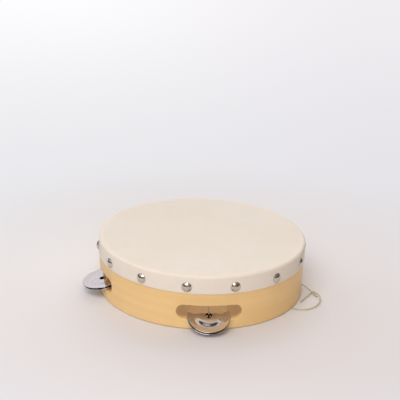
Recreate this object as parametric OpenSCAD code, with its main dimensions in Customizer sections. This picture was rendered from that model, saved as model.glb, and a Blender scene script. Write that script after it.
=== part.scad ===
// Headed tambourine: a bent-wood hoop with a tacked skin, four slots that each carry a pair
// of jingles on a pin, and a thin hanging string. Sizes are in millimetres. The hoop stands
// on z = 0 about the Z axis, and +X passes through the middle of the plain stretch of hoop
// that the hand holds.

/* [Hoop] */
// Outside diameter of the hoop
hoop_d = 200; // [180:1:240]
// Thickness of the hoop's wall
wall_t = 6; // [5.5:0.1:8]
// Height of the hoop
hoop_h = 53.2; // [50:0.1:70]
// Rounding of the hoop's long edges
hoop_edge_r = 1.6; // [1:0.1:2]

/* [Skin] */
// Thickness of the skin
skin_t = 0.8; // [0.4:0.1:1.2]
// Height of the folded band that covers the outside of the hoop
skin_band_h = 16.9; // [15:0.1:20]

/* [Tacks] */
// Number of tacks round the band
tack_count = 14; // [10:1:18]
// Diameter of a tack's domed head
tack_head_d = 9.7; // [7:0.1:11]
// Height of a tack's domed head
tack_head_h = 2.6; // [1.5:0.1:3.5]
// Diameter of a tack's shank
tack_shank_d = 1.3; // [1:0.1:2]
// Length of a tack's shank
tack_shank_l = 5.6; // [4:0.1:6]
// Height of the tacks' centres above the lower edge of the skin's band
tack_rise = 6.4; // [5.5:0.1:8]
// Angle of the first tack from the middle of the grip
tack_turn = 4.83; // [0:0.01:20]

/* [Slots] */
// Angle from one slot to the next
slot_pitch = 80; // [70:1:85]
// Length of a slot, end to end
slot_l = 60.5; // [54:0.5:66]
// Height of a slot
slot_h = 14; // [13:0.1:16]
// Height of a slot's lower ledge above the table
slot_ledge_z = 10.4; // [10.2:0.1:13]

/* [Jingle pins] */
// Diameter of the pins that carry the jingles
pin_d = 1.6; // [1.3:0.1:1.8]
// Length of a pin in the wood above its slot
pin_bite = 9; // [6:0.5:12]
// Diameter of a pin's flat head
pin_head_d = 2.4; // [2:0.1:2.6]
// Thickness of a pin's flat head
pin_head_t = 0.8; // [0.5:0.1:1.2]
// Depth of a pin's head inside the hoop's lower edge
pin_sink = 0.3; // [0.1:0.1:0.6]

/* [Jingles] */
// Diameter of a jingle
jingle_d = 39.8; // [36:0.1:41]
// Thickness of a jingle's sheet
jingle_t = 0.45; // [0.3:0.05:0.6]
// Diameter of the dish pressed in a jingle
dish_d = 28.5; // [24:0.5:31]
// Diameter of the dish's flat floor
dish_floor_d = 15; // [12:0.5:18]
// Depth of the dish
dish_depth = 0.9; // [0.5:0.1:1.2]
// Diameter of the hole in the middle of a jingle
jingle_hole_d = 6; // [5.8:0.1:7]
// Gap at the middle of a pair, which neither of its two jingles reaches into
pair_gap = 0.2; // [0.1:0.05:0.4]
// Gap between a leaning jingle and the slot's ledge
ledge_gap = 0.25; // [0.2:0.05:0.6]
// Lean of the pairs next to the grip, outer rim down, as far as the ledge lets them go
full_lean_angle = 25.4; // [20:0.1:27]
// Lean of the two middle pairs
half_lean_angle = 12.5; // [5:0.1:20]

/* [String] */
// Diameter of the string
string_d = 1.3; // [1:0.1:1.4]
// Diameter of the hole that the string passes through
string_hole_d = 3; // [2.5:0.1:4]
// Height of the string's hole above the table
string_hole_z = 8.3; // [7.5:0.1:9]
// Angle of the string's hole from the middle of the grip
string_hole_turn = 19.6; // [18:0.1:22]
// Diameter of the knot that closes the string
knot_d = 3.7; // [3.2:0.1:4.2]

/* [Hidden] */
$fn = 96;

// Colours
wood_colour = [0.87, 0.71, 0.49];
skin_colour = [0.91, 0.88, 0.79];
nickel_colour = [0.78, 0.77, 0.75];
string_colour = [0.88, 0.84, 0.72];

// Extra length of a cutting shape past the surface that it cuts
overrun = 1;

// Radii and heights that follow the hoop
hoop_r = hoop_d / 2;
inner_r = hoop_r - wall_t;
pin_ring_r = hoop_r - wall_t / 2;
band_r = hoop_r + skin_t;
head_z = hoop_h + skin_t;
band_z = hoop_h - skin_band_h;
tack_z = band_z + tack_rise;

// Slots, counted from the photographed front one round to the far side of the grip
slot_count = 4;
grip_angle = 360 - slot_pitch * (slot_count - 1);
function slot_turn(k) = -grip_angle / 2 - slot_pitch * k;
slot_mid_z = slot_ledge_z + slot_h / 2;
slot_inner_x = sqrt(pow(inner_r, 2) - pow(slot_l / 2, 2)) - overrun;
slot_cut_l = hoop_r + overrun - slot_inner_x;
pin_top_z = slot_ledge_z + slot_h + pin_bite;

// Half the thickness of a pair, from its middle to a rim's outer face
half_pair = pair_gap / 2 + jingle_t + dish_depth;
// The rim touches the ledge's outer edge where the hoop has curved away beside the pin
ledge_reach = sqrt(pow(hoop_r, 2) - pow(dish_d / 2, 2)) - pin_ring_r;
pair_z = slot_ledge_z + ledge_gap + ledge_reach * tan(full_lean_angle)
    + half_pair / cos(full_lean_angle);
// Where each jingle lies on its pin, outwards and sideways, as shares of the play in its hole:
// first in the pairs next to the grip, then in the two middle pairs
pin_play = (jingle_hole_d - pin_d) / 2;
upper_slip_shares = [[0.4, -0.12], [0.5, -0.5]];
lower_slip_shares = [[0.82, -0.18], [0.13, 0.08]];
// Steps in the curve from the dish's floor to the rim
dish_steps = 6;

function beside_grip(k) = k == 0 || k == slot_count - 1;
function lean(k) = beside_grip(k) ? full_lean_angle : half_lean_angle;
// The far pairs mirror the near ones
function side(k) = k < slot_count / 2 ? 1 : -1;

// String: hand-chosen points of its middle line, from the knot through the hole, down inside
// the hoop, out under the hoop's edge and round on the table back to the knot
string_sides = 8;
string_cuts = 2;
loop_route = [
    [104.4, 36, 2], [100.5, 35.8, 4.2], [97, 34.6, 6.8], [94.2, 33.5, 8.3], [88.6, 31.5, 8.3],
    [85.5, 29.5, 6.5], [84, 25.5, 3], [84, 20, 1], [84.5, 13, 0.7], [86, 6, 0.7],
    [89, -1, 0.7], [93, -4.5, 0.7], [98, -6, 0.7], [104, -6, 0.7], [109.3, -4.5, 0.7],
    [113.7, -1.1, 0.7], [116.8, 2.7, 0.9], [118.9, 7.8, 1.3], [119.7, 13.4, 1.8],
    [119, 19.5, 2.1], [116.9, 26.1, 2.1], [113.4, 31.9, 1.8], [109.8, 34.9, 1.7], [106.2, 36, 1.9]
];
knot_place = [105.2, 36, 1.95];
long_tail_route = [
    [104.6, 35, 1.6], [103.6, 31.5, 1.3], [103.8, 27.5, 1], [103.2, 22, 0.8], [103, 16, 0.7],
    [102.7, 10.5, 0.7]
];
short_tail_route = [[106, 35.2, 1.4], [108.6, 32.6, 0.8], [112.2, 30.4, 0.7]];

// A point of the smooth curve through p, t of the way from point i to the next one
function curve_point(p, i, t) =
    let (last = len(p) - 1)
    let (a = p[max(i - 1, 0)], b = p[i], c = p[min(i + 1, last)], d = p[min(i + 2, last)])
    (2 * b + (c - a) * t + (2 * a - 5 * b + 4 * c - d) * t * t
        + (3 * b - a - 3 * c + d) * t * t * t) / 2;
function curve(p, cuts) = concat(
    [for (i = [0 : len(p) - 2]) for (s = [0 : cuts - 1]) curve_point(p, i, s / cuts)],
    [p[len(p) - 1]]);
function unit(v) = v / norm(v);
function tangent(c, i) = unit(c[min(i + 1, len(c) - 1)] - c[max(i - 1, 0)]);
function ring(c, i, r, sides) =
    let (along = tangent(c, i), across = unit(cross([0, 0, 1], along)))
    let (over = cross(along, across))
    [for (s = [0 : sides - 1]) c[i] + r * (cos(360 * s / sides) * across
        + sin(360 * s / sides) * over)];

// One closed tube along a route
module cord(route) {
    line = curve(route, string_cuts);
    rings = len(line);
    skin = [for (i = [0 : rings - 1]) each ring(line, i, string_d / 2, string_sides)];
    start = [for (s = [0 : string_sides - 1]) s];
    end = [for (s = [1 : string_sides]) rings * string_sides - s];
    walls = [for (i = [0 : rings - 2]) for (s = [0 : string_sides - 1])
        let (a = i * string_sides + s, b = i * string_sides + (s + 1) % string_sides)
        each [[a, b + string_sides, b], [a, a + string_sides, b + string_sides]]];
    polyhedron(points = skin, faces = concat([start], walls, [end]));
}

// Half of a round cross-section, from the axis out to r, with its upper outer corner rounded
module drum_section(r, low, top, corner) {
    translate([0, low]) square([r - corner, top - low]);
    translate([0, low]) square([r, top - low - corner]);
    translate([r - corner, top - corner]) circle(r = corner);
}

// Cross-section of the hoop's wall, with its four corners rounded
module wall_section() {
    low = hoop_edge_r;
    translate([inner_r, low]) square([wall_t, hoop_h - 2 * low]);
    translate([inner_r + low, 0]) square([wall_t - 2 * low, hoop_h]);
    for (x = [inner_r + low, hoop_r - low]) {
        for (y = [low, hoop_h - low]) {
            translate([x, y]) circle(r = low);
        }
    }
}

// Places a child in the middle of slot k, with X outwards
module at_slot(k) {
    rotate([0, 0, slot_turn(k)]) translate([pin_ring_r, 0, 0]) children();
}

// The long round-ended cut of slot k
module slot_cut(k) {
    straight = slot_l - slot_h;
    rotate([0, 0, slot_turn(k)]) translate([slot_inner_x, 0, slot_mid_z])
    rotate([90, 0, 90]) linear_extrude(height = slot_cut_l) {
        square([straight, slot_h], center = true);
        translate([-straight / 2, 0]) circle(d = slot_h);
        translate([straight / 2, 0]) circle(d = slot_h);
    }
}

// A pin whose head starts at the height low, or the hole that it fills
module pin_shape(low) {
    translate([0, 0, low]) cylinder(d = pin_d, h = pin_top_z - low);
    translate([0, 0, low]) cylinder(d = pin_head_d, h = pin_sink + pin_head_t - low);
}

// Places a child at tack i, with Z outwards
module at_tack(i) {
    rotate([0, 0, tack_turn + 360 * i / tack_count])
    translate([band_r, 0, tack_z]) rotate([0, 90, 0]) children();
}

// The straight shank of a tack
module tack_shank() {
    translate([0, 0, -tack_shank_l]) cylinder(d = tack_shank_d, h = tack_shank_l);
}

// The shallow dome of a tack
module tack_dome() {
    head_r = tack_head_d / 2;
    ball_r = (pow(head_r, 2) + pow(tack_head_h, 2)) / (2 * tack_head_h);
    intersection() {
        translate([0, 0, tack_head_h - ball_r]) sphere(r = ball_r);
        cylinder(r = tack_head_d, h = tack_head_h + overrun);
    }
}

// Rise of a jingle's sheet above its floor, r out from its middle
function sheet_rise(r) =
    let (share = (2 * r - dish_floor_d) / (dish_d - dish_floor_d))
    share < 0 ? 0 : share > 1 ? dish_depth : dish_depth * (1 - cos(180 * share)) / 2;

// One pressed jingle above the middle of its pair, floor down, or domed with its floor up
module jingle(domed) {
    slope = [for (i = [0 : dish_steps]) dish_floor_d / 2
        + i * (dish_d - dish_floor_d) / 2 / dish_steps];
    radii = concat([jingle_hole_d / 2], slope, [jingle_d / 2]);
    low = pair_gap / 2;
    under = [for (r = radii) [r, low + (domed ? dish_depth - sheet_rise(r) : sheet_rise(r))]];
    over = [for (i = [len(radii) - 1 : -1 : 0]) under[i] + [0, jingle_t]];
    rotate_extrude() polygon(concat(under, over));
}

// Places a child in pair k where it rests, leaning out on its ledge
module at_pair(k, slip_shares) {
    slip = pin_play * slip_shares[beside_grip(k) ? 0 : 1];
    at_slot(k) translate([0, 0, pair_z]) rotate([0, lean(k), 0])
    translate([slip[0], slip[1] * side(k), 0]) children();
}

module hoop() {
    color(wood_colour) difference() {
        rotate_extrude() wall_section();
        for (k = [0 : slot_count - 1]) {
            slot_cut(k);
            at_slot(k) pin_shape(-overrun);
        }
        for (i = [0 : tack_count - 1]) {
            at_tack(i) tack_shank();
        }
        rotate([0, 0, string_hole_turn]) translate([pin_ring_r, 0, string_hole_z])
        rotate([0, 90, 0]) cylinder(d = string_hole_d, h = wall_t + overrun, center = true);
    }
}

module skin_head() {
    color(skin_colour) difference() {
        rotate_extrude() difference() {
            drum_section(band_r, band_z, head_z, hoop_edge_r + skin_t);
            drum_section(hoop_r, band_z - overrun, hoop_h, hoop_edge_r);
        }
        for (i = [0 : tack_count - 1]) {
            at_tack(i) tack_shank();
        }
    }
}

module head_tacks() {
    color(nickel_colour) for (i = [0 : tack_count - 1]) {
        at_tack(i) {
            tack_shank();
            tack_dome();
        }
    }
}

module jingle_pin(k) {
    color(nickel_colour) at_slot(k) pin_shape(pin_sink);
}

module jingle_upper(k) {
    color(nickel_colour) at_pair(k, upper_slip_shares) jingle(true);
}

module jingle_lower(k) {
    color(nickel_colour) at_pair(k, lower_slip_shares) mirror([0, 0, 1]) jingle(false);
}

module string_loop() {
    color(string_colour) cord(loop_route);
}

module string_knot() {
    color(string_colour) union() {
        translate(knot_place) sphere(d = knot_d);
        cord(long_tail_route);
        cord(short_tail_route);
    }
}

hoop();
skin_head();
head_tacks();
jingle_pin(0);  // jingle_pin_1
jingle_pin(1);  // jingle_pin_2
jingle_pin(2);  // jingle_pin_3
jingle_pin(3);  // jingle_pin_4
jingle_upper(0);  // jingle_upper_1
jingle_upper(1);  // jingle_upper_2
jingle_upper(2);  // jingle_upper_3
jingle_upper(3);  // jingle_upper_4
jingle_lower(0);  // jingle_lower_1
jingle_lower(1);  // jingle_lower_2
jingle_lower(2);  // jingle_lower_3
jingle_lower(3);  // jingle_lower_4
string_loop();
string_knot();
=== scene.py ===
"""Headed tambourine: a bent-wood hoop, a tacked skin, four pairs of jingles and a string."""

import logging
from collections.abc import Callable, Iterator, Sequence
from contextlib import contextmanager
from dataclasses import dataclass
from enum import Enum
from math import cos, exp, pi, radians, sin, sqrt, tau

import bmesh
import bpy
from bpy.types import Material, Node, NodeSocket as Socket, NodeTree, Object
from mathutils import Matrix, Vector, noise


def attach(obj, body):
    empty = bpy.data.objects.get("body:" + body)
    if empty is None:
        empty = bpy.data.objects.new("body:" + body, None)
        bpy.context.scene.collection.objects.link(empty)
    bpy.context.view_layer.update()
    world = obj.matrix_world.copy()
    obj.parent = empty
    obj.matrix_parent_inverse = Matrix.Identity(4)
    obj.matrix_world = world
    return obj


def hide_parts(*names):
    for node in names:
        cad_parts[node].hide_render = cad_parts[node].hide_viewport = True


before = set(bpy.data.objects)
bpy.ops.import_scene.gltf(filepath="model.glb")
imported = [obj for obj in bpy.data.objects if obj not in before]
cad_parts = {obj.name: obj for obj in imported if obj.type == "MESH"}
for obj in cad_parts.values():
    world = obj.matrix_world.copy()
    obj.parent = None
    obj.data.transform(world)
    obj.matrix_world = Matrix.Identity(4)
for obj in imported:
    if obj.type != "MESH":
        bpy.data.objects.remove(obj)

LOG = logging.getLogger("tambourine")
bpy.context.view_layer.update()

MM = 0.001
DRUM = "drum"
SLOT_TURNS = (-60, -140, 140, 60)
PIN_RING = 97 * MM
HOOP_RADIUS = 100 * MM
HOOP_WALL = 6 * MM
SKIN_RADIUS = 100.8 * MM
TACK_HEIGHT = 42.7 * MM

Colour = tuple[float, float, float, float]
Point = tuple[float, float, float]
Pair = tuple[float, float]


def srgb(red: float, green: float, blue: float) -> Colour:
    """Turns a screen colour into the linear colour that a shader takes.

    Args:
        red: Red from 0 to 255.
        green: Green from 0 to 255.
        blue: Blue from 0 to 255.

    Returns:
        The linear colour, fully opaque.
    """
    shares = (value / 255 for value in (red, green, blue))
    linear = (
        share / 12.92 if share <= 0.04045 else ((share + 0.055) / 1.055) ** 2.4
        for share in shares
    )
    return (*linear, 1.0)


# Workbench: the hand tools that the pieces share


def clear_selection() -> None:
    """Deselects every object, among them the ones that came with the frame."""
    bpy.ops.object.select_all(action="DESELECT")


def take(piece: Object) -> None:
    """Selects one piece alone and makes it the active one.

    Args:
        piece: The piece.
    """
    clear_selection()
    piece.select_set(True)
    bpy.context.view_layer.objects.active = piece


@contextmanager
def editing(piece: Object) -> Iterator[None]:
    """Opens a piece in edit mode with nothing selected, and closes it afterwards.

    Args:
        piece: The piece.
    """
    take(piece)
    bpy.ops.object.mode_set(mode="EDIT")
    bpy.ops.mesh.select_all(action="DESELECT")
    yield
    bpy.ops.object.mode_set(mode="OBJECT")


def pick_points(piece: Object, test: Callable[[Vector], bool]) -> None:
    """Selects points of a piece that is in edit mode.

    Args:
        piece: The piece.
        test: Tells from a point's place whether it is picked.
    """
    bpy.ops.mesh.select_mode(type="VERT")
    shape = bmesh.from_edit_mesh(piece.data)
    for point in shape.verts:
        point.select = test(point.co)
    shape.select_flush(True)
    bmesh.update_edit_mesh(piece.data)


def is_ring(spot: Vector, ring: Pair, reach: float = 1e-6) -> bool:
    """Tells whether a point lies on a ring of that radius and height."""
    return abs(spot.xy.length - ring[0]) < reach and abs(spot.z - ring[1]) < reach


def face_outwards() -> None:
    """Selects the whole mesh in edit mode and turns its faces outwards."""
    bpy.ops.mesh.select_all(action="SELECT")
    bpy.ops.mesh.normals_make_consistent(inside=False)


def turned(name: str, profile: Sequence[Pair], sides: int, closed: bool = False) -> Object:
    """Makes a turned shape: a circle that is extruded ring by ring along a profile.

    Args:
        name: Name of the new piece.
        profile: Radius and height of each ring, in metres. A last radius of zero closes
            the shape in a pole.
        sides: Points in each ring.
        closed: Whether the last ring is bridged to the first one.

    Returns:
        The new piece about the Z axis, with its faces outwards.
    """
    clear_selection()
    radius, height = profile[0]
    bpy.ops.mesh.primitive_circle_add(
        vertices=sides, radius=radius, fill_type="NOTHING", location=(0, 0, height)
    )
    piece = bpy.context.object
    piece.name = name
    bpy.ops.object.transform_apply()
    bpy.ops.object.mode_set(mode="EDIT")
    bpy.ops.mesh.select_all(action="SELECT")
    for next_radius, next_height in profile[1:]:
        bpy.ops.mesh.extrude_region_move(
            TRANSFORM_OT_translate={"value": (0, 0, next_height - height)}
        )
        if next_radius == 0:
            bpy.ops.mesh.merge(type="CENTER")
            break
        share = next_radius / radius
        bpy.ops.transform.resize(value=(share, share, 1), center_override=(0, 0, 0))
        radius, height = next_radius, next_height
    if closed:
        pick_points(piece, lambda spot: is_ring(spot, profile[0]) or is_ring(spot, profile[-1]))
        bpy.ops.mesh.bridge_edge_loops()
    face_outwards()
    bpy.ops.object.mode_set(mode="OBJECT")
    return piece


def place(piece: Object, where: Matrix) -> Object:
    """Moves a piece and puts its new place in its mesh, so that its origin stays put.

    Args:
        piece: The piece.
        where: Its new place.

    Returns:
        The same piece.
    """
    piece.matrix_world = where
    take(piece)
    bpy.ops.object.transform_apply()
    return piece


def copied(piece: Object, name: str) -> Object:
    """Copies a piece with a mesh of its own.

    Args:
        piece: The piece to copy.
        name: Name of the copy.

    Returns:
        The copy.
    """
    take(piece)
    bpy.ops.object.duplicate(linked=False)
    twin = bpy.context.object
    twin.name = name
    return twin


def modify(piece: Object, kind: str, **settings: object) -> None:
    """Gives a piece a modifier and applies it.

    Args:
        piece: The piece.
        kind: The modifier's type.
        **settings: Values of its own properties.
    """
    take(piece)
    modifier = piece.modifiers.new(kind, kind)
    for name, value in settings.items():
        setattr(modifier, name, value)
    bpy.ops.object.modifier_apply(modifier=modifier.name)


def smooth(piece: Object, degrees: float) -> None:
    """Shades a piece smooth, but for the edges sharper than an angle."""
    take(piece)
    bpy.ops.object.shade_smooth_by_angle(angle=radians(degrees))


def hand_over(piece: Object, body: str, nodes: Sequence[str], finish: Material) -> None:
    """Gives a finished piece its material and body, and hides what it stands for.

    Args:
        piece: The finished piece.
        body: The moving body that carries it.
        nodes: The solids that it replaces.
        finish: The material that covers it.
    """
    if piece.data.materials:
        piece.data.materials[0] = finish
    else:
        piece.data.materials.append(finish)
    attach(piece, body)
    if nodes:
        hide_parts(*nodes)
    LOG.info("%s rides on %s, %d faces", piece.name, body, len(piece.data.polygons))


# Finishes


class Sheet:
    """A node tree with short calls for adding nodes and links."""

    def __init__(self, tree: NodeTree) -> None:
        """Keeps the tree that the calls work on, and empties it."""
        self.tree = tree
        tree.nodes.clear()

    def add(self, kind: str, settings: dict | None = None, **inputs: object) -> Node:
        """Adds a node.

        Args:
            kind: The node's type.
            settings: Values of the node's own properties.
            **inputs: Its inputs, as fill takes them.

        Returns:
            The new node.
        """
        node = self.tree.nodes.new(kind)
        for name, value in (settings or {}).items():
            setattr(node, name, value)
        self.fill(node, **inputs)
        return node

    def fill(self, node: Node, **inputs: object) -> None:
        """Sets or links inputs of a node.

        Args:
            node: The node.
            **inputs: Each a value or a socket to link. The key is the input's name, with _
                for a space, or its number after the letter i.
        """
        for name, value in inputs.items():
            numbered = name[0] == "i" and name[1:].isdigit()
            target = node.inputs[int(name[1:]) if numbered else name.replace("_", " ")]
            if isinstance(value, Socket):
                self.tree.links.new(value, target)
            else:
                target.default_value = value

    def sum(self, kind: str, *numbers: object) -> Socket:
        """Adds a Math node of that operation and returns its output."""
        inputs = {f"i{index}": number for index, number in enumerate(numbers)}
        return self.add("ShaderNodeMath", {"operation": kind}, **inputs).outputs[0]

    def ramp(self, value: object, zero: float, one: float) -> Socket:
        """Maps a value smoothly onto 0 to 1 between where it is zero and where it is one."""
        settings = {"interpolation_type": "SMOOTHSTEP"}
        return self.add(
            "ShaderNodeMapRange", settings, Value=value, From_Min=zero, From_Max=one
        ).outputs["Result"]

    def mix(self, share: object, first: object, second: object) -> Socket:
        """Mixes a share of a second colour into a first one."""
        node = self.add("ShaderNodeMix", {"data_type": "RGBA"}, i0=share, i6=first, i7=second)
        return node.outputs[2]

    def noise(self, where: Socket, scale: object, detail: float, rough: float = 0.5) -> Socket:
        """Adds a Noise texture and returns its value."""
        inputs = {"Vector": where, "Scale": scale, "Detail": detail, "Roughness": rough}
        return self.add("ShaderNodeTexNoise", **inputs).outputs["Fac"]

    def split(self, where: Socket) -> Sequence[Socket]:
        """Splits a place into its three coordinates."""
        return self.add("ShaderNodeSeparateXYZ", Vector=where).outputs

    def spun(self, where: Socket, angle: float) -> Socket:
        """Turns a place about the Z axis by an angle in radians."""
        settings = {"rotation_type": "Z_AXIS"}
        return self.add("ShaderNodeVectorRotate", settings, Vector=where, Angle=angle).outputs[0]

    def reach(self, first: Socket, second: Point = (0, 0, 0)) -> Socket:
        """Gives the distance between two places."""
        settings = {"operation": "DISTANCE"}
        return self.add("ShaderNodeVectorMath", settings, i0=first, i1=second).outputs["Value"]


def new_group(
    name: str, numbers: dict[str, float], masks: Sequence[str]
) -> tuple[Sheet, Sequence[Socket], Node]:
    """Starts a shader node group that reads a place and puts out masks.

    Args:
        name: The group's name.
        numbers: Its number inputs with their first values.
        masks: The names of its outputs.

    Returns:
        The sheet of the group, its inputs as sockets to link, and its output node.
    """
    tree = bpy.data.node_groups.new(name, "ShaderNodeTree")
    tree.interface.new_socket("Place", in_out="INPUT", socket_type="NodeSocketVector")
    for label, value in numbers.items():
        socket = tree.interface.new_socket(label, in_out="INPUT", socket_type="NodeSocketFloat")
        socket.default_value = value
    for label in masks:
        tree.interface.new_socket(label, in_out="OUTPUT", socket_type="NodeSocketFloat")
    sheet = Sheet(tree)
    return sheet, sheet.add("NodeGroupInput").outputs, sheet.add("NodeGroupOutput")


class Effects:
    """The finishes' node groups, each built once."""

    def __init__(self) -> None:
        """Builds the groups."""
        self.build_grain()
        self.build_mottle()
        self.build_scratches()

    def build_grain(self) -> None:
        """Makes streaks and pores that run round the Z axis, as in a bent strip of wood."""
        sheet, given, leave = new_group(
            "grain", {"Along": 9.0, "Across": 420.0}, ("Streaks", "Fine", "Pores")
        )
        x, y, z = sheet.split(given["Place"])
        rise = sheet.sum("MULTIPLY_ADD", sheet.noise(given["Place"], 14.0, 2.0), 0.006, z)
        for label, along, across, detail, rough, low, high in (
            ("Streaks", 0.6, 0.35, 3.0, 0.55, 0.3, 0.7),
            ("Fine", 1.6, 3.2, 4.0, 0.6, 0.3, 0.72),
            ("Pores", 14.0, 7.0, 1.0, 0.4, 0.62, 0.8),
        ):
            length = sheet.sum("MULTIPLY", given["Along"], along)
            width = sheet.sum("MULTIPLY", given["Across"], across)
            squeezed = sheet.add(
                "ShaderNodeCombineXYZ", X=sheet.sum("MULTIPLY", x, length),
                Y=sheet.sum("MULTIPLY", y, length), Z=sheet.sum("MULTIPLY", rise, width),
            )
            texture = sheet.noise(squeezed.outputs[0], 1.0, detail, rough)
            sheet.fill(leave, **{label: sheet.ramp(texture, low, high)})
        self.grain = sheet.tree

    def build_mottle(self) -> None:
        """Makes broad clouds, small patches and a fine tooth, as in skin or on worn metal."""
        sheet, given, leave = new_group("mottle", {"Size": 20.0}, ("Clouds", "Patches", "Tooth"))
        scaled = sheet.add(
            "ShaderNodeVectorMath", {"operation": "SCALE"}, i0=given["Place"], Scale=given["Size"]
        ).outputs[0]
        clouds = sheet.noise(scaled, 1.0, 3.0)
        patches = sheet.noise(scaled, 7.0, 4.0, 0.6)
        sheet.fill(
            leave, Clouds=sheet.ramp(clouds, 0.3, 0.7), Patches=sheet.ramp(patches, 0.35, 0.68),
            Tooth=sheet.noise(scaled, 55.0, 3.0, 0.6),
        )
        self.mottle = sheet.tree

    def build_scratches(self) -> None:
        """Makes hair scratches in three directions across a small bright surface."""
        sheet, given, leave = new_group("scratches", {"Size": 300.0}, ("Lines",))
        lines: object = 0.0
        for turn in (0.5, 1.9, 2.7):
            squeezed = sheet.add(
                "ShaderNodeMapping", Vector=sheet.spun(given["Place"], turn),
                Scale=(0.05, 1.6, 1.0),
            ).outputs[0]
            hair = sheet.ramp(sheet.noise(squeezed, given["Size"], 2.0, 0.7), 0.64, 0.7)
            lines = sheet.sum("MAXIMUM", hair, lines)
        sheet.fill(leave, Lines=lines)
        self.scratches = sheet.tree


class Coat(Sheet):
    """The node tree of a new material, with its Principled shader and its output."""

    def __init__(self, name: str, effects: Effects | None = None) -> None:
        """Makes the material.

        Args:
            name: The material's name.
            effects: The shared node groups.
        """
        self.material = bpy.data.materials.new(name)
        self.material.use_nodes = True
        super().__init__(self.material.node_tree)
        self.effects = effects
        self.shader = self.add("ShaderNodeBsdfPrincipled")
        self.out = self.add("ShaderNodeOutputMaterial", Surface=self.shader.outputs[0])
        self.where = self.add("ShaderNodeTexCoord").outputs["Object"]

    def group(self, tree: NodeTree, **inputs: object) -> Sequence[Socket]:
        """Places a shared node group on the piece and returns its masks."""
        settings = {"node_tree": tree}
        return self.add("ShaderNodeGroup", settings, Place=self.where, **inputs).outputs

    def mottle(self, size: float) -> Sequence[Socket]:
        """Places the mottle at a size and returns its masks."""
        return self.group(self.effects.mottle, Size=size)

    def bump(self, strength: float, distance: float, height: Socket) -> None:
        """Raises the shader's surface by a bump of that distance in metres."""
        node = self.add("ShaderNodeBump", Strength=strength, Distance=distance, Height=height)
        self.fill(self.shader, Normal=node.outputs[0])

    def blend(self, share: object, other: Node) -> None:
        """Mixes a share of a second shader into the material."""
        pair = {"i1": self.shader.outputs[0], "i2": other.outputs[0]}
        self.fill(self.out, Surface=self.add("ShaderNodeMixShader", i0=share, **pair).outputs[0])


@dataclass(frozen=True)
class Finish:
    """What every finish shares: its name and the start of its material."""

    name: str

    def make(self, effects: Effects) -> Material:
        """Builds the material.

        Args:
            effects: The shared node groups.

        Returns:
            The finished material.
        """
        coat = Coat(self.name, effects)
        self.dress(coat)
        return coat.material

    def dress(self, coat: Coat) -> None:
        """Adds what makes the finish; every finish has its own way."""
        raise NotImplementedError


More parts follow.
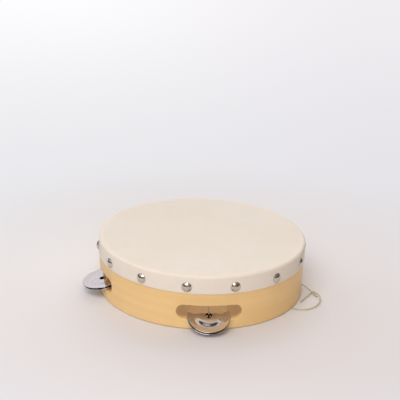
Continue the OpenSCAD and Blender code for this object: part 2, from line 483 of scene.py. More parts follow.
@dataclass(frozen=True)
class Hoopwood(Finish):
    """Pale bent wood under a thin satin varnish, with its plies on the cut faces."""

    pale: Colour = srgb(229, 196, 141)
    deep: Colour = srgb(220, 184, 125)
    ply: Colour = srgb(224, 184, 130)
    glue: Colour = srgb(160, 118, 74)
    # Dark ring round the pins on the slots' ledges: painted shade under the jingles, with a nail
    # stain.
    pin_shade_stain: Colour = srgb(62, 44, 30)
    # Pale colour on the slots' roofs and upper lips: painted light on faces that lie in shade.
    painted_roof_light: Colour = srgb(252, 224, 174)
    ply_depth: float = HOOP_WALL / 3
    pin_shade_reach: Pair = (8 * MM, 5 * MM)
    pin_shade_heights: Sequence[Pair] = ((9.9 * MM, 10.3 * MM), (14 * MM, 12 * MM))
    painted_light_heights: Pair = (20 * MM, 23 * MM)
    rough: float = 0.36
    gloss: float = 0.22
    varnish: float = 0.1
    varnish_rough: float = 0.3

    def dress(self, coat: Coat) -> None:
        """Lays streaks, plies and glue lines over the pale wood, paints shade and a nail stain
        round the pins, paints light on the slots' roofs, and varnishes it.

        Args:
            coat: The material to fill in.
        """
        grain = coat.group(coat.effects.grain)
        x, y, height = coat.split(coat.where)
        flat = coat.add("ShaderNodeCombineXYZ", X=x, Y=y).outputs[0]
        depth = coat.sum("SUBTRACT", coat.reach(flat), HOOP_RADIUS - HOOP_WALL)
        cut = self.cut_face(coat, depth)
        layers = coat.mix(self.glue_lines(coat, depth), self.ply, self.glue)
        base = self.pale
        for mask, share, colour in (
            (grain["Streaks"], 0.8, self.deep), (grain["Fine"], 0.2, self.ply),
            (coat.mottle(16.0)["Clouds"], 0.3, self.pale), (cut, 0.75, layers),
            (grain["Pores"], 0.1, self.glue),
        ):
            base = coat.mix(coat.sum("MULTIPLY", mask, share), base, colour)
        # Painted shade under the jingles, with a nail stain, on the ledge round each pin.
        base = coat.mix(self.pin_shade_and_stains(coat, flat, height), base, self.pin_shade_stain)
        # The cut faces high in each slot, its roof and upper lip, get painted light.
        roof = coat.ramp(height, *self.painted_light_heights)
        base = coat.mix(coat.sum("MULTIPLY", cut, roof), base, self.painted_roof_light)
        rough = coat.sum("MULTIPLY_ADD", grain["Fine"], 0.12, self.rough)
        coat.fill(
            coat.shader, Base_Color=base, Roughness=coat.sum("MULTIPLY_ADD", cut, 0.2, rough),
            Specular_IOR_Level=self.gloss, Coat_Weight=self.varnish,
            Coat_Roughness=self.varnish_rough,
        )
        pitted = coat.sum("MULTIPLY_ADD", grain["Pores"], -0.6, grain["Fine"])
        coat.bump(0.25, 0.08 * MM, pitted)

    def cut_face(self, sheet: Sheet, depth: Socket) -> Socket:
        """Masks the faces between the wall's two sides, from the depth in the wall."""
        off = sheet.sum("ABSOLUTE", sheet.sum("SUBTRACT", depth, HOOP_WALL / 2))
        return sheet.ramp(off, HOOP_WALL / 2 - 0.2 * MM, HOOP_WALL / 2 - 0.5 * MM)

    def glue_lines(self, sheet: Sheet, depth: Socket) -> Socket:
        """Masks the thin lines where the strip's plies meet, from the depth in the wall."""
        off = sheet.sum("PINGPONG", sheet.sum("DIVIDE", depth, self.ply_depth), 0.5)
        return sheet.sum("MULTIPLY", sheet.ramp(off, 0.09, 0.03), 0.8)

    def pin_shade_and_stains(self, sheet: Sheet, flat: Socket, height: Socket) -> Socket:
        """Masks a small dark ring on the slot's ledge round each of the jingles' pins: painted
        shade under the jingles, with a stain from the nails.

        Args:
            sheet: The material's sheet.
            flat: The place on the wood, at height zero.
            height: The height above the table.

        Returns:
            The mask.
        """
        mask: object = 0.0
        for turn in SLOT_TURNS:
            pin = Matrix.Rotation(radians(turn), 3, "Z") @ Vector((PIN_RING, 0, 0))
            ring = sheet.ramp(sheet.reach(flat, tuple(pin)), *self.pin_shade_reach)
            mask = sheet.sum("MAXIMUM", ring, mask)
        for low, high in self.pin_shade_heights:
            mask = sheet.sum("MULTIPLY", mask, sheet.ramp(height, low, high))
        return mask


@dataclass(frozen=True)
class Drumskin(Finish):
    """Cream skin, faintly mottled, with a matt tooth and light coming through it."""

    cream: Colour = srgb(227, 224, 215)
    warm: Colour = srgb(223, 217, 204)
    pale: Colour = srgb(229, 227, 219)
    glow: Colour = srgb(252, 230, 196)
    rough: float = 0.5
    gloss: float = 0.25
    lets_through: float = 0.15
    lets_into_drum: float = 0.7

    def dress(self, coat: Coat) -> None:
        """Mottles the skin, gives it its tooth and lets light through it.

        Args:
            coat: The material to fill in.
        """
        mottle = coat.mottle(18.0)
        fibres = coat.mottle(70.0)
        base = coat.mix(mottle["Clouds"], self.cream, self.pale)
        base = coat.mix(coat.sum("MULTIPLY", mottle["Patches"], 0.25), base, self.warm)
        coat.fill(
            coat.shader, Base_Color=base, Specular_IOR_Level=self.gloss,
            Roughness=coat.sum("MULTIPLY_ADD", fibres["Patches"], 0.14, self.rough),
        )
        tooth = coat.sum("MULTIPLY_ADD", fibres["Tooth"], 0.5, fibres["Patches"])
        coat.bump(0.2, 0.12 * MM, tooth)
        share = coat.add(
            "ShaderNodeMapRange",
            Value=coat.add("ShaderNodeLightPath").outputs["Is Diffuse Ray"],
            To_Min=self.lets_through, To_Max=self.lets_into_drum,
        ).outputs["Result"]
        coat.blend(share, coat.add("ShaderNodeBsdfTranslucent", Color=self.glow))


@dataclass(frozen=True)
class Nickel(Finish):
    """Bright nickel plate with smears and hair scratches."""

    clean: Colour = srgb(214, 209, 211)
    dull: Colour = srgb(197, 191, 190)
    # Colour of the painted shade below a height.
    painted_shade: Colour = srgb(30, 25, 20)
    least_rough: float = 0.06
    smear: float = 0.08
    shaded_below: float = 0.0

    def dress(self, coat: Coat) -> None:
        """Tarnishes, smears and scratches the metal, and paints shade on it below a height.

        Args:
            coat: The material to fill in.
        """
        mottle = coat.mottle(70.0)
        lines = coat.group(coat.effects.scratches)["Lines"]
        tarnish = coat.sum("MULTIPLY", mottle["Patches"], 0.4)
        base = coat.mix(tarnish, self.clean, self.dull)
        # Below a height the metal is painted near black: painted shade.
        if self.shaded_below:
            height = coat.split(coat.where)[2]
            painted_shade = coat.ramp(height, self.shaded_below + MM, self.shaded_below)
            base = coat.mix(painted_shade, base, self.painted_shade)
        rough = coat.sum("MULTIPLY_ADD", mottle["Clouds"], self.smear, self.least_rough)
        rough = coat.sum("MULTIPLY_ADD", lines, 0.12, rough)
        coat.fill(coat.shader, Base_Color=base, Metallic=1.0, Roughness=rough)
        coat.bump(0.12, 0.03 * MM, lines)


@dataclass(frozen=True)
class Cotton(Finish):
    """Undyed cotton string, with soft dirt in the lay of its strands."""

    pale: Colour = srgb(212, 202, 172)
    dusty: Colour = srgb(178, 164, 128)
    rough: float = 0.85
    fuzz: float = 0.3

    def dress(self, coat: Coat) -> None:
        """Dusts the cotton in patches and gives it a soft tooth.

        Args:
            coat: The material to fill in.
        """
        mottle = coat.mottle(240.0)
        coat.fill(
            coat.shader, Base_Color=coat.mix(mottle["Patches"], self.pale, self.dusty),
            Roughness=self.rough, Sheen_Weight=self.fuzz,
        )
        coat.bump(0.4, 0.1 * MM, mottle["Tooth"])


# Pieces


@dataclass
class PhotoCamera:
    """The camera, from the place and with the lens of the photograph."""

    place: Point = (0.46487, -1.0077, 0.51011)
    turn: Point = (69.2368, -1.9993, 25.7078)
    lens: float = 110.338
    sensor: float = 36
    nearest: float = 0.01

    def build(self) -> None:
        """Adds the camera and makes it the scene's own."""
        clear_selection()
        rotation = [radians(angle) for angle in self.turn]
        bpy.ops.object.camera_add(location=self.place, rotation=rotation)
        camera = bpy.context.object
        camera.name = "photo_camera"
        camera.data.lens = self.lens
        camera.data.sensor_width = self.sensor
        camera.data.clip_start = self.nearest
        bpy.context.scene.camera = camera


@dataclass
class HangingString:
    """The thin string: a loop through the hoop's hole, a knot and two short tails."""

    cotton: Material
    width: float = 1.3 * MM
    plies: int = 3
    ply_points: int = 6
    lay: float = 3.6 * MM
    groove: float = 0.24
    fray: float = 0.25
    fray_rings: int = 8
    route_step: float = 0.3 * MM
    loop_route: Sequence[Point] = (
        (104.4, 36, 2), (100.5, 35.8, 4.2), (97, 34.6, 6.8), (94.2, 33.5, 8.3), (88.6, 31.5, 8.3),
        (85.5, 29.5, 6.5), (84, 25.5, 3), (84, 20, 1), (84.5, 13, 0.7), (86, 6, 0.7),
        (89, -1, 0.7), (93, -4.5, 0.7), (98, -6, 0.7), (104, -6, 0.7), (109.3, -4.5, 0.7),
        (113.7, -1.1, 0.7), (116.8, 2.7, 0.9), (118.9, 7.8, 1.3), (119.7, 13.4, 1.8),
        (119, 19.5, 2.1), (116.9, 26.1, 2.1), (113.4, 31.9, 1.8), (109.8, 34.9, 1.7),
        (106.2, 36, 1.9),
    )
    exit_mark: int = 3
    long_tail_route: Sequence[Point] = (
        (104.6, 35, 1.6), (103.6, 31.5, 1.3), (103.8, 27.5, 1), (103.2, 22, 0.85), (103, 16, 0.85),
        (102.7, 10.5, 0.95),
    )
    short_tail_route: Sequence[Point] = ((106, 35.2, 1.4), (108.6, 32.6, 0.9), (112.2, 30.4, 0.95))
    knot_place: Point = (105.2, 36, 1.95)
    knot_width: float = 1.15 * MM
    knot_reach: float = 0.42 * MM
    knot_depth: float = 0.62 * MM
    knot_cuts: int = 120

    def build(self) -> None:
        path = self.smooth_path(self.loop_route)
        loop = self.twisted("string_loop_laid", path, self.width)
        hand_over(loop, DRUM, ["string_loop"], self.cotton)
        knot = self.twisted("string_knot_tied", self.knot_path(), self.knot_width)
        hand_over(knot, DRUM, ["string_knot"], self.cotton)
        for name, route in (("long", self.long_tail_route), ("short", self.short_tail_route)):
            path_out = self.smooth_path(route)
            tail = self.twisted(f"string_{name}_tail", path_out, self.width, self.fray)
            hand_over(tail, DRUM, [], self.cotton)

    def smooth_path(self, route: Sequence[Point]) -> list[Vector]:
        """Runs a smooth curve through a route's points.

        Args:
            route: Points in millimetres.

        Returns:
            The curve's points in metres.
        """
        marks = [Vector(point) * MM for point in route]
        path = []
        for index in range(len(marks) - 1):
            a = marks[max(index - 1, 0)]
            b, c = marks[index], marks[index + 1]
            d = marks[min(index + 2, len(marks) - 1)]
            cuts = max(2, round((c - b).length / self.route_step))
            for cut in range(cuts):
                t = cut / cuts
                path.append(
                    (2 * b + (c - a) * t + (2 * a - 5 * b + 4 * c - d) * t * t
                     + (3 * b - a - 3 * c + d) * t * t * t) / 2
                )
        return path + [marks[-1]]

    def knot_path(self) -> list[Vector]:
        """Winds one strand through itself three times, as in a small round knot.

        Returns:
            The strand's points in metres.
        """
        path = []
        for index in range(self.knot_cuts + 1):
            turn = tau * index / self.knot_cuts
            reach = self.knot_reach * (2 + cos(3 * turn))
            bend = (reach * cos(2 * turn), reach * sin(2 * turn), self.knot_depth * sin(3 * turn))
            path.append(Vector(self.knot_place) * MM + Vector(bend))
        return path

    def twisted(self, name: str, path: Sequence[Vector], width: float, fray: float = 0.0) -> Object:
        """Sweeps the twisted section of the string along a path.

        Args:
            name: Name of the new piece.
            path: The points that it follows, in metres.
            width: Its thickness.
            fray: How much its far end swells, where the strands open.

        Returns:
            The tube, closed at both ends.
        """
        sides = self.plies * self.ply_points
        shape = bmesh.new()
        across = (path[1] - path[0]).orthogonal().normalized()
        run, last = 0.0, len(path) - 1
        rings = []
        for index, centre in enumerate(path):
            along = (path[min(index + 1, last)] - path[max(index - 1, 0)]).normalized()
            across = (across - along * across.dot(along)).normalized()
            over = along.cross(across)
            run += (centre - path[index - 1]).length if index else 0.0
            swell = 1 + fray * max(0.0, 1 - (last - index) / self.fray_rings)
            ring = []
            for side in range(sides):
                angle = tau * side / sides
                lobe = abs(cos(self.plies * angle / 2))
                reach = width / 2 * (1 - self.groove + self.groove * lobe) * swell
                turn = angle + run / self.lay * tau
                offset = across * reach * cos(turn) + over * reach * sin(turn)
                ring.append(shape.verts.new(centre + offset))
            rings.append(ring)
        for first, second in zip(rings, rings[1:]):
            for side in range(sides):
                after = (side + 1) % sides
                shape.faces.new((first[side], first[after], second[after], second[side]))
        shape.faces.new(list(reversed(rings[0])))
        shape.faces.new(rings[-1])
        mesh = bpy.data.meshes.new(name)
        shape.to_mesh(mesh)
        shape.free()
        piece = bpy.data.objects.new(name, mesh)
        bpy.context.collection.objects.link(piece)
        smooth(piece, 60)
        return piece


@dataclass
class SkinHead:
    """The skin: a taut round head whose band folds down over the hoop."""

    skin: Material
    flesh: Material
    tack_turns: Sequence[float]
    radius: float = SKIN_RADIUS
    thickness: float = 0.5 * MM
    ease: float = 0.2 * MM
    low: float = 36.3 * MM
    high: float = 54 * MM
    shoulder: float = 2.4 * MM
    band_steps: int = 10
    shoulder_steps: int = 6
    head_rings: Sequence[float] = (97, 95, 92, 88, 83, 77, 70, 62, 53, 44, 35, 26, 17, 9, 4, 0)
    sides: int = 336
    waves: float = 0.12 * MM
    head_edge: float = 20 * MM
    band_edge: float = 6 * MM
    hem: float = 4 * MM
    dent: float = 0.14 * MM
    dent_reach: float = 6.5 * MM

    def build(self) -> None:
        """Makes the skin and gives it the small unevenness of a real one."""
        piece = turned("drum_skin", self.profile(), self.sides)
        for point in piece.data.vertices:
            point.co += self.uneven(point.co)
        piece.data.materials.append(self.skin)
        piece.data.materials.append(self.flesh)
        modify(piece, "SOLIDIFY", thickness=self.thickness, offset=-1, material_offset=1)
        modify(
            piece, "BEVEL", width=self.ease, segments=2, limit_method="ANGLE",
            angle_limit=radians(60),
        )
        smooth(piece, 50)
        hand_over(piece, DRUM, ["skin_head"], self.skin)

    def profile(self) -> list[Pair]:
        """Lists the rings from the band's lower edge over the shoulder to the middle.

        Returns:
            Radius and height of each ring.
        """
        bend = self.high - self.shoulder
        rise = (bend - self.low) / self.band_steps
        rings = [(self.radius, self.low + rise * step) for step in range(self.band_steps + 1)]
        centre = self.radius - self.shoulder
        for step in range(1, self.shoulder_steps + 1):
            turn = pi / 2 * step / self.shoulder_steps
            rings.append((centre + self.shoulder * cos(turn), bend + self.shoulder * sin(turn)))
        return rings + [(radius * MM, self.high) for radius in self.head_rings]

    def uneven(self, spot: Vector) -> Vector:
        """Gives how far a point of the skin lies off its true place.

        Args:
            spot: The point's true place.

        Returns:
            The way from there to its own place.
        """
        inward = self.radius - self.shoulder - spot.xy.length
        if inward > 0:
            swell = (noise.noise(spot * 22) * 0.1 + noise.noise(spot * 60) * 0.03) * MM
            return Vector((0, 0, (swell - self.waves) * min(1, inward / self.head_edge)))
        out = Vector((spot.x, spot.y, 0)).normalized()
        drop = max(0.0, min(1.0, (self.high - self.shoulder - spot.z) / self.band_edge))
        push = noise.noise(Vector((spot.x, spot.y, spot.z / 2)) * 45) * self.waves * drop
        for turn in self.tack_turns:
            tack = Vector((cos(turn), sin(turn), 0)) * self.radius
            tack.z = TACK_HEIGHT
            push -= self.dent * exp(-((spot - tack).length / self.dent_reach) ** 2)
        slip = noise.noise(out * 5) * self.waves * max(0.0, 1 - (spot.z - self.low) / self.hem)
        return out * push + Vector((0, 0, slip))


@dataclass
class BentHoop:
    """The hoop: a bent strip with rounded edges, four slots and the string's hole."""

    wood: Material
    outer: float = HOOP_RADIUS
    wall: float = HOOP_WALL
    height: float = 53.2 * MM
    edge: float = 1.6 * MM
    edge_steps: int = 6
    sides: int = 288
    ease: float = 0.5 * MM
    slot_length: float = 60.5 * MM
    slot_height: float = 14 * MM
    slot_middle: float = 17.4 * MM
    slot_points: int = 46
    cut_start: float = 13 * MM
    cut_depth: float = 16 * MM
    pin_head: float = 1.3 * MM
    pin_cut: float = 2.2 * MM
    hole_turn: float = 19.6
    hole_height: float = 8.3 * MM
    hole_radius: float = 1.5 * MM
    hole_cut: float = 12 * MM

    def build(self) -> None:
        """Bends the strip, cuts its slots and holes, and eases their edges."""
        piece = turned("bent_hoop", self.section(), self.sides, closed=True)
        cutters = [self.slot_cutter(turn) for turn in SLOT_TURNS]
        cutters += [self.drill(turn, 0, self.pin_head, self.pin_cut) for turn in SLOT_TURNS]
        cutters.append(
            self.drill(self.hole_turn, self.hole_height, self.hole_radius, self.hole_cut, True)
        )
        for cutter in cutters:
            modify(piece, "BOOLEAN", operation="DIFFERENCE", solver="EXACT", object=cutter)
            bpy.data.objects.remove(cutter)
        with editing(piece):
            bpy.ops.mesh.select_all(action="SELECT")
            bpy.ops.mesh.remove_doubles(threshold=0.04 * MM)
            bpy.ops.mesh.select_mode(type="EDGE")
            bpy.ops.mesh.select_all(action="DESELECT")
            bpy.ops.mesh.edges_select_sharp(sharpness=radians(50))
            bpy.ops.mesh.bevel(offset=self.ease, segments=3, clamp_overlap=False)
        smooth(piece, 35)
        hand_over(piece, DRUM, ["hoop"], self.wood)

    def section(self) -> list[Pair]:
        """Lists the corners of the wall's cross-section, with its four rounded edges.

        Returns:
            Radius and height of each corner.
        """
        far, near = self.outer - self.edge, self.outer - self.wall + self.edge
        low, high = self.edge, self.height - self.edge
        rings = []
        for radius, height, start in (
            (far, low, -90), (far, high, 0), (near, high, 90), (near, low, 180)
        ):
            for step in range(self.edge_steps + 1):
                turn = radians(start + 90 * step / self.edge_steps)
                rings.append((radius + self.edge * cos(turn), height + self.edge * sin(turn)))
        return rings

    def slot_cutter(self, turn: float) -> Object:
        """Makes the long round-ended block that cuts one slot.

        Args:
            turn: The slot's angle round the hoop, in degrees.

        Returns:
            The cutter in its place.
        """
        clear_selection()
        bpy.ops.mesh.primitive_circle_add(
            vertices=self.slot_points, radius=self.slot_height / 2, fill_type="NGON"
        )
        cutter = bpy.context.object
        half = (self.slot_length - self.slot_height) / 2
        with editing(cutter):
            pick_points(cutter, lambda spot: spot.x > 0)
            bpy.ops.transform.translate(value=(half, 0, 0))
            pick_points(cutter, lambda spot: spot.x < 0)
            bpy.ops.transform.translate(value=(-half, 0, 0))
            bpy.ops.mesh.select_all(action="SELECT")
            bpy.ops.mesh.extrude_region_move(
                TRANSFORM_OT_translate={"value": (0, 0, self.cut_depth)}
            )
            face_outwards()
        upright = Matrix(((0, 0, 1, 0), (1, 0, 0, 0), (0, 1, 0, 0), (0, 0, 0, 1)))
        start = Matrix.Translation((self.outer - self.cut_start, 0, self.slot_middle))
        return place(cutter, Matrix.Rotation(radians(turn), 4, "Z") @ start @ upright)

    def drill(
        self, turn: float, height: float, radius: float, length: float, through: bool = False
    ) -> Object:
        """Makes the cylinder that cuts one round hole.

        Args:
            turn: The hole's angle round the hoop, in degrees.
            height: The height of the cylinder's middle.
            radius: The hole's radius.
            length: The cylinder's length.
            through: Whether it lies across the wall, and doesn't stand upright.

        Returns:
            The cutter in its place.
        """
        angle = radians(turn)
        clear_selection()
        bpy.ops.mesh.primitive_cylinder_add(
            vertices=32, radius=radius, depth=length,
            location=(PIN_RING * cos(angle), PIN_RING * sin(angle), height),
            rotation=(0, pi / 2, angle) if through else (0, 0, 0),
        )
        bpy.ops.object.transform_apply()
        return bpy.context.object


@dataclass
class BandTacks:
    """The ring of domed tacks that hold the skin's band.

    The rim runs from the shank's tip to the edge of the dome, in millimetres.
    """

    nickel: Material
    count: int = 14
    first_turn: float = 4.83
    seat: float = SKIN_RADIUS - 0.05 * MM
    slant: float = 0.02
    slant_step: float = 2.3
    head: float = 4.85 * MM
    rise: float = 2.6 * MM
    least_rise: float = 0.45 * MM
    dome_steps: int = 12
    rim: Sequence[Pair] = (
        (0.15, -5.6), (0.65, -4.2), (0.65, -0.2), (2.6, -0.1), (4.5, -0.05), (4.77, 0),
        (4.85, 0.16), (4.79, 0.36),
    )
    dome_inset: float = 0.15 * MM

    def turns(self) -> list[float]:
        """Lists the tacks' angles round the hoop, in radians."""
        step = 360 / self.count
        return [radians(self.first_turn + step * index) for index in range(self.count)]

    def build(self) -> None:
        """Turns one tack and sets its copies round the band."""
        first = turned("band_tack", self.profile(), 48)
        smooth(first, 50)
        for index, angle in enumerate(self.turns()):
            tack = copied(first, f"band_tack_{index + 1:02d}")
            lean = self.slant * sin(index * self.slant_step)
            where = (
                Matrix.Rotation(angle, 4, "Z") @ Matrix.Translation((self.seat, 0, TACK_HEIGHT))
                @ Matrix.Rotation(pi / 2 + lean, 4, "Y")
            )
            place(tack, where)
            hand_over(tack, DRUM, [] if index else ["head_tacks"], self.nickel)
        bpy.data.objects.remove(first)

    def profile(self) -> list[Pair]:
        """Lists the rings of one tack, from its shank's tip over the head to the top.

        Returns:
            Radius and height of each ring.
        """
        rings = [(radius * MM, height * MM) for radius, height in self.rim]
        ball = (self.head ** 2 + self.rise ** 2) / (2 * self.rise)
        for step in range(1, self.dome_steps + 1):
            turn = pi / 2 * step / self.dome_steps
            radius = (self.head - self.dome_inset) * cos(turn)
            height = sqrt(ball ** 2 - radius ** 2) - (ball - self.rise)
            top = step == self.dome_steps
            rings.append((0 if top else radius, max(height, self.least_rise)))
        return rings


@dataclass
class JinglePairs:
    """Four pairs of pressed jingles, each pair loose on its pin in a slot.

    The leans and slips are those of pairs 1 and 4, beside the grip, and of pairs 2 and 3.
    """

    nickel: Material
    shade_finish: Material
    leans: Pair = (25.4, 12.5)
    upper_slips: Sequence[Pair] = ((0.4, -0.12), (0.5, -0.5))
    lower_slips: Sequence[Pair] = ((0.82, -0.18), (0.13, 0.08))
    play: float = 2.2 * MM
    first_spin: float = 0.7
    pair_spin: float = 1.3
    lower_spin: float = 2.1
    hinge_height: float = 13.195 * MM
    radius: float = 19.9 * MM
    hole: float = 3 * MM
    hole_ease: float = 0.1 * MM
    floor: float = 7.5 * MM
    dish: float = 14.25 * MM
    dish_steps: int = 14
    depth: float = 0.9 * MM
    flare: float = 0.17
    bend: float = 0.05 * MM
    shade_reach: float = 7 * MM
    sheet: float = 0.45 * MM
    gap: float = 0.2 * MM

    def build(self) -> None:
        """Presses one jingle and hangs its eight copies."""
        first = turned("jingle", self.profile(), 128, closed=True)
        first.data.materials.append(self.nickel)
        first.data.materials.append(self.shade_finish)
        smooth(first, 40)
        flip = Matrix.Rotation(pi, 4, "X")
        domed = Matrix.Translation((0, 0, self.gap + self.depth + self.sheet)) @ flip
        for index in range(len(SLOT_TURNS)):
            for low, name, slips, turn in (
                (False, "upper", self.upper_slips, domed), (True, "lower", self.lower_slips, flip)
            ):
                jingle = copied(first, f"jingle_{name}_pressed_{index + 1}")
                angle = self.first_spin + index * self.pair_spin + low * self.lower_spin
                self.bend_and_shade(jingle, index * 2 + low, low)
                place(jingle, self.seat(index, slips) @ turn @ Matrix.Rotation(angle, 4, "Z"))
                hand_over(
                    jingle, f"{name}_{index + 1}", [f"jingle_{name}_{index + 1}"],
                    self.nickel,
                )
        bpy.data.objects.remove(first)

    def seat(self, index: int, slips: Sequence[Pair]) -> Matrix:
        """Gives where a jingle rests, leaning out on its slot's ledge.

        Args:
            index: The pair, counted from 0.
            slips: How far its kind lies off its pin, outwards and sideways, as shares of the
                play, in pairs 1 and 4 and in pairs 2 and 3.

        Returns:
            The jingle's place.
        """
        kind = min(index, len(SLOT_TURNS) - 1 - index)
        outwards, sideways = slips[kind]
        side = 1 if index == kind else -1
        return (
            Matrix.Rotation(radians(SLOT_TURNS[index]), 4, "Z")
            @ Matrix.Translation((PIN_RING, 0, self.hinge_height))
            @ Matrix.Rotation(radians(self.leans[kind]), 4, "Y")
            @ Matrix.Translation((self.play * outwards, self.play * sideways * side, 0))
        )

    def bend_and_shade(self, piece: Object, seed: int, floor_down: bool) -> None:
        """Bends a jingle very slightly and gives its hole's wall and the faces towards its partner,
        near the hole, a dark nickel: painted shade between the pair, with some dirt.

        Args:
            piece: The jingle, before it is laid in its place.
            seed: A number of its own, which decides its bends.
            floor_down: Whether its floor's lower face is the one towards its partner.
        """
        shift = Vector((seed * 3.1, seed * 1.7, seed * 0.9))
        for point in piece.data.vertices:
            flat = Vector((point.co.x, point.co.y, 0))
            share = min(1.0, flat.length / (19 * MM))
            point.co.z += noise.noise(flat * 60 + shift) * self.bend * share
        # Faces towards the partner near the hole, and the hole's wall, take the painted shade.
        middle = (self.gap + self.sheet) / 2
        for face in piece.data.polygons:
            inner = face.center.z < middle if floor_down else face.center.z > middle
            reach = face.center.xy.length
            in_hole = reach < self.hole + self.hole_ease
            face.material_index = int(reach < self.shade_reach and (inner or in_hole))

    def profile(self) -> list[Pair]:
        """Lists the rings of one jingle: under side outwards, rim, upper side inwards.

        Returns:
            Radius and height of each ring.
        """
        step_out = (self.dish - self.floor) / self.dish_steps
        marks = [self.hole + self.hole_ease, 4.2 * MM, 5.8 * MM, self.floor]
        marks += [self.floor + step_out * step for step in range(1, self.dish_steps + 1)]
        marks += [15.4 * MM, 16.8 * MM, 18.2 * MM, 19 * MM, self.radius - 0.5 * MM]
        bottom = self.gap / 2
        under = [(radius, bottom + self.rise(radius)) for radius in marks]
        over = [(radius, height + self.sheet) for radius, height in reversed(under)]
        middle = bottom + self.rise(self.radius) + self.sheet / 2
        edge = []
        for step in range(-4, 5):
            turn = radians(20 * step)
            edge.append((
                self.radius - 0.4 * MM * (1 - cos(turn)),
                middle + self.sheet / 2 * sin(turn) / sin(radians(80)) * 0.98,
            ))
        top = bottom + self.sheet
        bore = [(self.hole, top - self.hole_ease), (self.hole, bottom + self.hole_ease)]
        return under + edge + over + bore

    def rise(self, radius: float) -> float:
        """Gives how far the sheet has risen from the dish's floor at a radius."""
        share = max(0.0, min(1.0, (radius - self.floor) / (self.dish - self.floor)))
        return (
            self.depth * share ** 3 * (share * (6 * share - 15) + 10)
            - self.flare * max(0.0, radius - self.dish)
        )


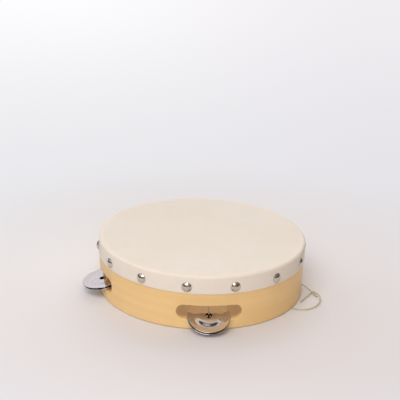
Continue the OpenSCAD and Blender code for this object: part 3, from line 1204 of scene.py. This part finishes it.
@dataclass
class Studio:
    """The pale table, the soft light and the surroundings that the metal mirrors.

    The table's colours come in pairs, for its left and its right. A lamp has a name, a place
    as the camera sees it, X to the right and Y away, the length of its sides and its power.
    """

    # The table is darker on its right and towards the front: painted shade of how the light falls
    # across it.
    front: Sequence[Colour] = (srgb(216, 213, 215), srgb(210, 205, 206))
    near: Sequence[Colour] = (srgb(226, 226, 228), srgb(222, 220, 223))
    middle: Sequence[Colour] = (srgb(232, 232, 236), srgb(227, 225, 229))
    far: Sequence[Colour] = (srgb(254, 253, 255), srgb(241, 238, 242))
    table_size: float = 14
    table_rough: float = 0.7
    table_gloss: float = 0.2
    plain_between: Pair = (0.17, 0.4)
    lamps: Sequence[tuple[str, Point, float, float]] = (
        ("front_lamp", (-0.22, -0.87, 1.07), 0.8, 10), ("back_lamp", (0.15, 1.15, 1.0), 1.2, 6),
        ("low_lamp", (0.12, -1.3, 0.35), 1.0, 4),
    )
    sweep: Colour = srgb(248, 246, 249)
    room: Colour = srgb(158, 139, 120)
    ceiling: Colour = srgb(170, 156, 142)
    lit_strip: Colour = srgb(240, 230, 220)
    dark_panel: Colour = srgb(84, 74, 68)
    pale_patch: Colour = srgb(206, 197, 190)
    camera_turn: float = 24.95

    def build(self) -> None:
        """Sets up the table, the lamps and the world."""
        self.lay_table()
        self.hang_lamps()
        self.surround()

    def lay_table(self) -> None:
        """Lays the pale table, which grows lighter away from the camera and is darker on its right:
        painted light and shade.
        """
        clear_selection()
        bpy.ops.mesh.primitive_plane_add(size=self.table_size)
        table = bpy.context.object
        table.name = "table"
        coat = Coat("table_top")
        across, away, _ = coat.split(coat.spun(coat.where, -radians(self.camera_turn)))
        side = coat.ramp(across, -0.35, 0.35)
        front, near, middle, far = (
            coat.mix(side, *pair) for pair in (self.front, self.near, self.middle, self.far)
        )
        coat.fill(
            coat.shader, Base_Color=coat.mix(coat.ramp(away, -0.22, 0.12), front, near),
            Roughness=self.table_rough, Specular_IOR_Level=self.table_gloss,
        )
        rays = coat.add("ShaderNodeLightPath").outputs
        seen = coat.sum("MAXIMUM", rays["Is Camera Ray"], rays["Is Glossy Ray"])
        outside = coat.ramp(coat.reach(coat.where), *self.plain_between)
        colour = coat.mix(coat.ramp(away, 0.0, 1.5), middle, far)
        plain = coat.add("ShaderNodeEmission", Color=colour, Strength=1.0)
        coat.blend(coat.sum("MULTIPLY", seen, outside), plain)
        table.data.materials.append(coat.material)

    def hang_lamps(self) -> None:
        """Hangs the square lamps, which face the object; metal mirrors only the front one."""
        view = Matrix.Rotation(radians(self.camera_turn), 4, "Z")
        for name, spot, size, power in self.lamps:
            clear_selection()
            bpy.ops.object.light_add(type="AREA", location=view @ Vector(spot))
            lamp = bpy.context.object
            lamp.name = name
            lamp.rotation_euler = (-lamp.location).to_track_quat("-Z", "Y").to_euler()
            lamp.data.size = size
            lamp.data.energy = power
            lamp.visible_glossy = name == "front_lamp"

    def surround(self) -> None:
        """Surrounds the scene with a white sweep, a dim room, a brown ceiling and dark flags."""
        world = bpy.data.worlds.new("studio_room")
        bpy.context.scene.world = world
        world.use_nodes = True
        sheet = Sheet(world.node_tree)
        where = sheet.add("ShaderNodeTexCoord").outputs["Generated"]
        across, away, up = sheet.split(sheet.spun(where, -radians(self.camera_turn)))
        leftwards = sheet.sum("MULTIPLY", across, -0.6)
        white_side = sheet.sum("MULTIPLY_ADD", away, 0.8, leftwards)
        walls = sheet.mix(sheet.ramp(white_side, -0.3, 0.2), self.room, self.sweep)
        forward = sheet.sum("MULTIPLY", away, -1)
        sideways = sheet.sum("ABSOLUTE", across)
        patch = sheet.sum(
            "MULTIPLY", sheet.ramp(forward, 0.14, 0.19), sheet.ramp(sideways, 0.15, 0.09)
        )
        roof: object = self.ceiling
        for mask, colour in (
            (sheet.ramp(forward, -0.15, -0.08), self.lit_strip),
            (sheet.ramp(forward, 0.01, 0.06), self.dark_panel),
            (patch, self.pale_patch),
            (sheet.ramp(forward, 0.26, 0.34), self.ceiling),
        ):
            roof = sheet.mix(mask, roof, colour)
        colour = sheet.mix(sheet.ramp(up, 0.7, 0.93), walls, roof)
        mirrored = sheet.add("ShaderNodeLightPath").outputs["Is Glossy Ray"]
        flag = sheet.sum("MULTIPLY", sheet.ramp(sideways, 0.45, 0.6), sheet.ramp(up, 0.5, 0.35))
        colour = sheet.mix(sheet.sum("MULTIPLY", mirrored, flag), colour, self.dark_panel)
        back = sheet.add("ShaderNodeBackground", Color=colour, Strength=1.0)
        sheet.add("ShaderNodeOutputWorld", Surface=back.outputs[0])


class Look(Enum):
    """The finishes that this object is dressed in."""

    WOOD = Hoopwood("hoop_wood_satin")
    SKIN = Drumskin("drum_skin_cream")
    FLESH = Drumskin("drum_skin_flesh_side", lets_through=0.7)
    TACK = Nickel(
        "tack_nickel_dome", clean=srgb(214, 206, 195), dull=srgb(180, 171, 160), least_rough=0.14
    )
    JINGLE = Nickel("jingle_nickel_sheet")
    # Dark, rough nickel on the faces between a pair and in the holes: painted shade, with some
    # dirt.
    CONTACT = Nickel(
        "jingle_nickel_painted_shade", clean=srgb(40, 34, 30), dull=srgb(24, 20, 18), least_rough=0.5
    )
    # The pin is painted dark below the jingles: painted shade in their holes and under them.
    PIN = Nickel(
        "pin_steel_wire", clean=srgb(224, 196, 162), dull=srgb(196, 169, 135), least_rough=0.3,
        shaded_below=14.4 * MM,
    )
    STRING = Cotton("string_cotton_pale")


def main() -> None:
    """Builds the classes in order and dresses the solids that stay."""
    logging.basicConfig(level=logging.INFO, format="%(name)s: %(message)s")
    PhotoCamera().build()
    effects = Effects()
    finishes = {look: look.value.make(effects) for look in Look}
    HangingString(finishes[Look.STRING]).build()
    tacks = BandTacks(finishes[Look.TACK])
    SkinHead(finishes[Look.SKIN], finishes[Look.FLESH], tacks.turns()).build()
    BentHoop(finishes[Look.WOOD]).build()
    tacks.build()
    JinglePairs(finishes[Look.JINGLE], finishes[Look.CONTACT]).build()
    for number in range(1, len(SLOT_TURNS) + 1):
        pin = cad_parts[f"jingle_pin_{number}"]
        for slot in pin.material_slots:
            slot.material = finishes[Look.PIN]
        LOG.info("%s keeps its solid", pin.name)
    Studio().build()
    bpy.context.scene.view_settings.view_transform = "Standard"


if __name__ == "__main__":
    main()
